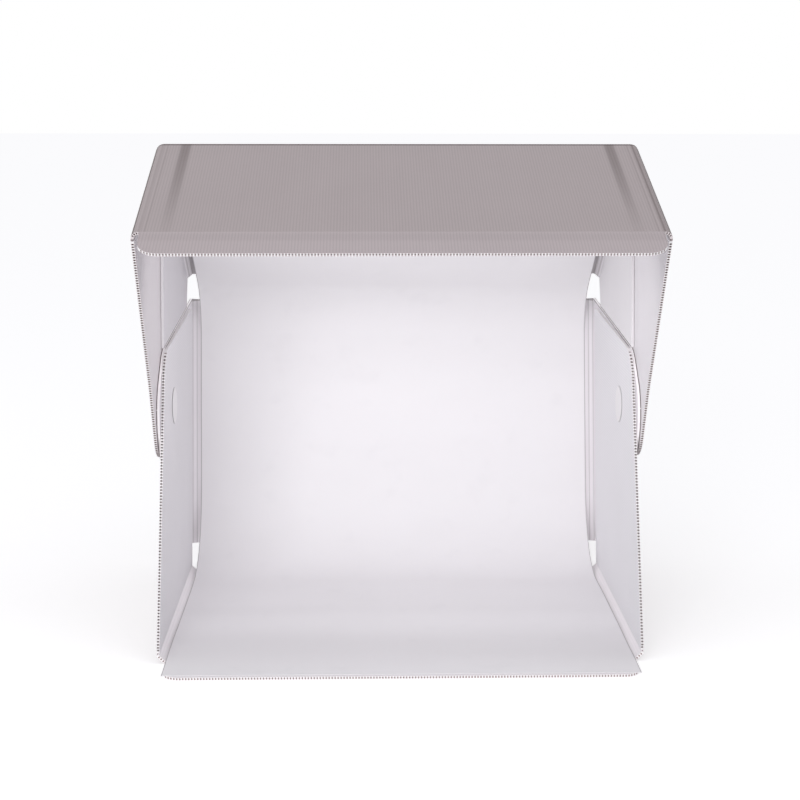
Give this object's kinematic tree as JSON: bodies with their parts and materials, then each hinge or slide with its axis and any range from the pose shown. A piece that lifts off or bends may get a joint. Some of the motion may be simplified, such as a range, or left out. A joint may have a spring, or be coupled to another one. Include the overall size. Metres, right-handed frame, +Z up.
{
  "type": "light tent cube",
  "caption": "Folding light tent of translucent twin-wall sheet with an open front, a coved white backdrop, light bars under its top and magnet-held side flaps.",
  "frame": {"origin": "middle of the bounding box, on the surface that the tent stands on", "axes": "+Z up, +X to the right seen from the open front, +Y from the open front to the back"},
  "size_m": [0.6022, 0.5866, 0.6084],
  "materials": {
    "sheet": "satin translucent twin-wall sheet with fine parallel flutes",
    "backdrop": "smooth matt white flexible sheet",
    "cover": "smooth satin disc",
    "magnet": "plain nickelled disc",
    "aluminium": "satin extrusion",
    "led_board": "white board with pale yellow chips",
    "diffuser": "milky cover",
    "socket": "black moulded barrel",
    "hook_tape": "short white hook pile"
  },
  "bodies": {
    "base": {"base_panel": "sheet", "backdrop": "backdrop"},
    "back": {"back_panel": "sheet"},
    "roof": {"roof_panel": "sheet", "hanging_pad_left": "hook_tape", "hanging_pad_right": "hook_tape"},
    "top": {"top_panel": "sheet", "light_channel_left": "aluminium", "light_channel_right": "aluminium", "light_channel_front": "aluminium", "led_strip_left": "led_board", "led_strip_right": "led_board", "led_strip_front": "led_board", "light_diffuser_left": "diffuser", "light_diffuser_right": "diffuser", "light_diffuser_front": "diffuser", "power_socket": "socket"},
    "visor": {"visor": "sheet"},
    "top_flap_left": {"top_flap_left": "sheet", "keeper_left": "magnet", "keeper_cover_left": "cover"},
    "roof_wing_left": {"roof_wing_left": "sheet"},
    "back_wing_left": {"back_wing_left": "sheet"},
    "base_flap_left": {"base_flap_left": "sheet", "magnet_left": "magnet", "magnet_cover_left": "cover"},
    "top_flap_right": {"top_flap_right": "sheet", "keeper_right": "magnet", "keeper_cover_right": "cover"},
    "roof_wing_right": {"roof_wing_right": "sheet"},
    "back_wing_right": {"back_wing_right": "sheet"},
    "base_flap_right": {"base_flap_right": "sheet", "magnet_right": "magnet", "magnet_cover_right": "cover"}
  },
  "joints": [
    {"name": "back_fold", "type": "hinge", "parent": "base", "child": "back", "pos_m": [0, 0.21201, 0], "axis": [-1, 0, 0], "range_deg": [0, 77.8], "deforming": ["backdrop"]},
    {"name": "roof_fold", "type": "hinge", "parent": "back", "child": "roof", "pos_m": [0, 0.29358, 0.37728], "axis": [-1, 0, 0], "range_deg": [0, 64.7], "deforming": ["backdrop"]},
    {"name": "ridge_fold", "type": "hinge", "parent": "roof", "child": "top", "pos_m": [0, -0.009, 0.60913], "axis": [-1, 0, 0], "range_deg": [0, 58.1], "deforming": ["backdrop"]},
    {"name": "visor_fold", "type": "hinge", "parent": "top", "child": "visor", "pos_m": [0, -0.24707, 0.51946], "axis": [-1, 0, 0], "range_deg": [0, 155]},
    {"name": "top_flap_left_fold", "type": "hinge", "parent": "top", "child": "top_flap_left", "pos_m": [-0.3, -0.24303, 0.50872], "axis": [0, 0.9358, 0.3525], "range_deg": [0, 100]},
    {"name": "roof_wing_left_fold", "type": "hinge", "parent": "roof", "child": "roof_wing_left", "pos_m": [-0.2962, -0.01598, 0.60002], "axis": [0, 0.7938, -0.6082], "range_deg": [0, 50]},
    {"name": "back_wing_left_fold", "type": "hinge", "parent": "back", "child": "back_wing_left", "pos_m": [-0.2962, 0.28237, 0.37971], "axis": [0, -0.2113, -0.9774], "range_deg": [0, 50]},
    {"name": "base_flap_left_fold", "type": "hinge", "parent": "base", "child": "base_flap_left", "pos_m": [-0.2889, -0.19699, 0.01148], "axis": [0, 1, 0], "range_deg": [0, 65], "deforming": ["backdrop"]},
    {"name": "top_flap_right_fold", "type": "hinge", "parent": "top", "child": "top_flap_right", "pos_m": [0.3, -0.24303, 0.50872], "axis": [0, -0.9358, -0.3525], "range_deg": [0, 100]},
    {"name": "roof_wing_right_fold", "type": "hinge", "parent": "roof", "child": "roof_wing_right", "pos_m": [0.2962, -0.01598, 0.60002], "axis": [0, -0.7938, 0.6082], "range_deg": [0, 50]},
    {"name": "back_wing_right_fold", "type": "hinge", "parent": "back", "child": "back_wing_right", "pos_m": [0.2962, 0.28237, 0.37971], "axis": [0, 0.2113, 0.9774], "range_deg": [0, 50]},
    {"name": "base_flap_right_fold", "type": "hinge", "parent": "base", "child": "base_flap_right", "pos_m": [0.2889, -0.19699, 0.01148], "axis": [0, -1, 0], "range_deg": [0, 56], "deforming": ["backdrop"]}
  ],
  "couplings": [
    {"joint": "roof_wing_left_fold", "follows": "top_flap_left_fold", "ratio": 0.5},
    {"joint": "back_wing_left_fold", "follows": "top_flap_left_fold", "ratio": 0.5},
    {"joint": "roof_wing_right_fold", "follows": "top_flap_right_fold", "ratio": 0.5},
    {"joint": "back_wing_right_fold", "follows": "top_flap_right_fold", "ratio": 0.5}
  ]
}
